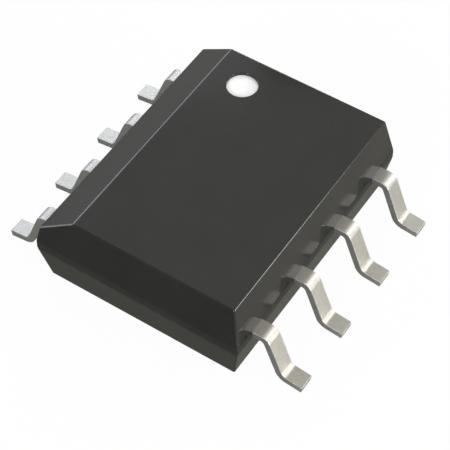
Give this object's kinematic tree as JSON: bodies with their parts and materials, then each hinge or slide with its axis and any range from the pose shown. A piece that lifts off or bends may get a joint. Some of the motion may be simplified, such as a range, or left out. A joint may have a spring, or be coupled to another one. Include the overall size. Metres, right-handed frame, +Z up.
{
  "type": "small-outline chip package",
  "caption": "Surface-mount chip: a bevelled black moulded body with a round pin-one mark and rows of gull-wing leads along its two long sides.",
  "frame": {"origin": "on the board's surface, under the middle of the package", "axes": "+X across the package towards the leads counted from the near end, +Y along it towards the end with the pin-one mark, +Z up from the board"},
  "size_m": [0.006, 0.005, 0.0018],
  "materials": {
    "epoxy": "fine moulded texture, charcoal, slightly glossy",
    "tinned_lead": "satin tin plating",
    "frame_copper": "bare stamped copper alloy",
    "adhesive": "cured silver-filled adhesive",
    "silicon": "passivated silicon, smooth",
    "wire": "drawn gold wire",
    "ink": "white marking ink"
  },
  "bodies": {
    "root": {"body": "epoxy", "lead_1": "tinned_lead", "lead_2": "tinned_lead", "lead_3": "tinned_lead", "lead_4": "tinned_lead", "lead_5": "tinned_lead", "lead_6": "tinned_lead", "lead_7": "tinned_lead", "lead_8": "tinned_lead", "die_pad": "frame_copper", "die_attach": "adhesive", "die": "silicon", "bond_wire_1": "wire", "bond_wire_2": "wire", "bond_wire_3": "wire", "bond_wire_4": "wire", "bond_wire_5": "wire", "bond_wire_6": "wire", "bond_wire_7": "wire", "bond_wire_8": "wire", "pin_1_mark": "ink"}
  },
  "joints": []
}
